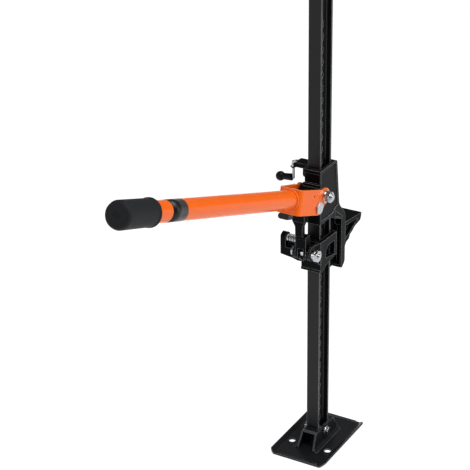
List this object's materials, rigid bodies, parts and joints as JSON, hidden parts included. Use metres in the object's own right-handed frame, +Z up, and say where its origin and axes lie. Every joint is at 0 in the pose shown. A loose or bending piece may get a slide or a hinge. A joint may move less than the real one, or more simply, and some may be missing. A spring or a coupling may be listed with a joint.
{
  "type": "farm jack",
  "caption": "Upright farm jack: an I-section standard on a base plate, a climbing runner with a lifting nose, and a long orange handle with a rubber grip.",
  "frame": {"origin": "middle of the base plate's underside, on the floor under the standard's axis", "axes": "+Z up the standard, +X from the handle towards the lifting nose, +Y towards the climbing pins and the reversing latch"},
  "size_m": [0.9452, 0.181, 1.223],
  "materials": {
    "standard_paint": "satin black",
    "base_paint": "satin black",
    "runner_iron": "black painted casting",
    "link_iron": "black painted casting",
    "clevis_iron": "black painted casting",
    "orange_paint": "satin orange",
    "grip_rubber": "moulded rubber",
    "latch_rubber": "moulded rubber",
    "zinc": "bright zinc",
    "pin_steel": "ground steel",
    "spring_wire": "bright wire",
    "clip_steel": "spring steel"
  },
  "bodies": {
    "standard": {"bar": "standard_paint", "base_plate": "base_paint", "base_saddle": "base_paint", "base_bolt": "zinc", "base_nut": "zinc", "top_clevis": "clevis_iron", "top_clevis_bolt": "zinc", "top_clevis_nut": "zinc"},
    "carriage": {"large_runner": "runner_iron", "pivot_bolt": "zinc", "pivot_nut": "zinc", "pivot_washers": "zinc", "upper_pin_spring": "spring_wire", "upper_pin_cap": "runner_iron", "latch_pivot_pin": "zinc"},
    "upper_pin": {"upper_climbing_pin": "pin_steel"},
    "latch": {"latch_lever": "zinc", "latch_grip": "latch_rubber"},
    "handle": {"handle_socket": "orange_paint", "handle_tube": "orange_paint", "handle_grip": "grip_rubber", "handle_clip": "clip_steel", "pitman_bolt": "zinc", "pitman_nut": "zinc"},
    "pitman": {"pitman": "link_iron"},
    "follower": {"small_runner": "runner_iron", "lower_bolt": "zinc", "lower_nut": "zinc", "lower_pin_spring": "spring_wire"},
    "lower_pin": {"lower_climbing_pin": "pin_steel", "lower_cross_pin": "pin_steel"}
  },
  "joints": [
    {"name": "carriage_slide", "type": "slide", "parent": "standard", "child": "carriage", "axis": [0, 0, 1], "range_m": [-0.37147, 0.3429]},
    {"name": "handle_swing", "type": "hinge", "parent": "carriage", "child": "handle", "pos_m": [-0.0364, 0, 0.6563], "axis": [0, 1, 0], "range_deg": [-20, 50]},
    {"name": "small_runner_slide", "type": "slide", "parent": "carriage", "child": "follower", "axis": [0, 0, 1], "range_m": [-0.012, 0.029]},
    {"name": "pitman_swing", "type": "hinge", "parent": "handle", "child": "pitman", "pos_m": [-0.06756, 0, 0.64033], "axis": [0, 1, 0], "range_deg": [-55, 22]},
    {"name": "upper_pin_slide", "type": "slide", "parent": "carriage", "child": "upper_pin", "axis": [0, -1, 0], "range_m": [0, 0.012], "deforming": ["upper_pin_spring"]},
    {"name": "lower_pin_slide", "type": "slide", "parent": "follower", "child": "lower_pin", "axis": [0, -1, 0], "range_m": [0, 0.012], "deforming": ["lower_pin_spring"]},
    {"name": "latch_swing", "type": "hinge", "parent": "carriage", "child": "latch", "pos_m": [0, 0.059, 0.703], "axis": [1, 0, 0], "range_deg": [0, 45]}
  ],
  "couplings": [
    {"joint": "small_runner_slide", "follows": "handle_swing", "m_per_rad": 0.032745},
    {"joint": "pitman_swing", "follows": "handle_swing", "ratio": -1.055}
  ]
}
